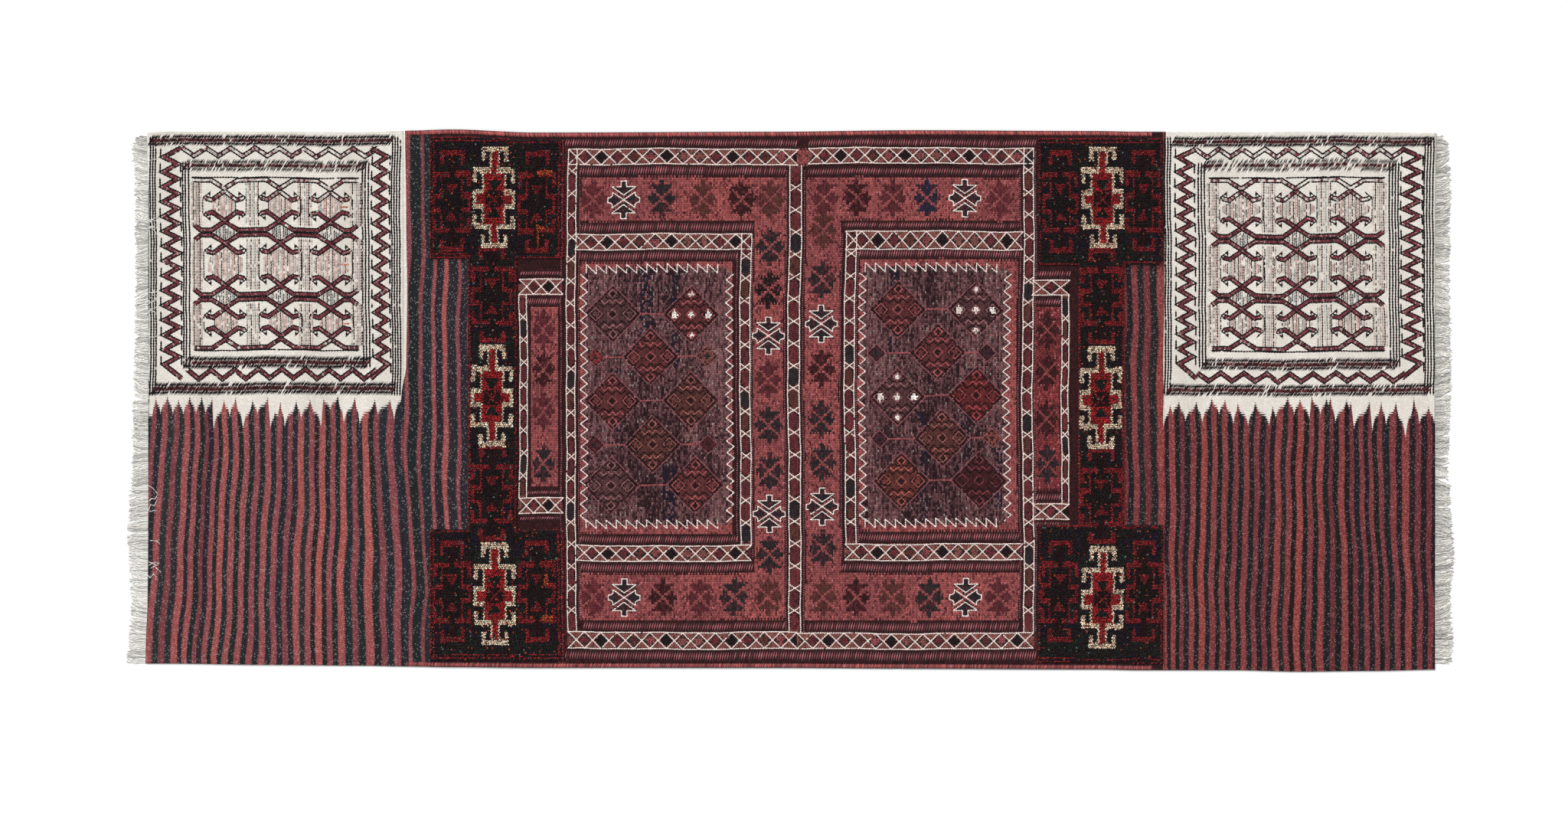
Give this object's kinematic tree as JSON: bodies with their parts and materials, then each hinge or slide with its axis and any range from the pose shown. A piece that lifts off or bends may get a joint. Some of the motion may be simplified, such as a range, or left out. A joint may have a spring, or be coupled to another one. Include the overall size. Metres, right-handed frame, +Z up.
{
  "type": "flat-woven saddlebag rug with knotted pile bands and fringed ends",
  "caption": "Long flat wool rug with striped woven ends, ivory corner panels, stepped pile bands, a patterned middle and short fringes.",
  "frame": {"origin": "middle of the rug's underside, on the floor that it lies on", "axes": "+X along the warps, towards the right fringe; +Y across the rug; +Z up, out of the patterned face"},
  "size_m": [2.511, 1.0265, 0.0092],
  "materials": {
    "wool": "hand-woven and knotted wool, matt",
    "warp_yarn": "undyed ivory warp yarn, matt"
  },
  "bodies": {
    "root": {"rug_cloth": "wool", "fringe_left": "warp_yarn", "fringe_right": "warp_yarn"}
  },
  "joints": []
}
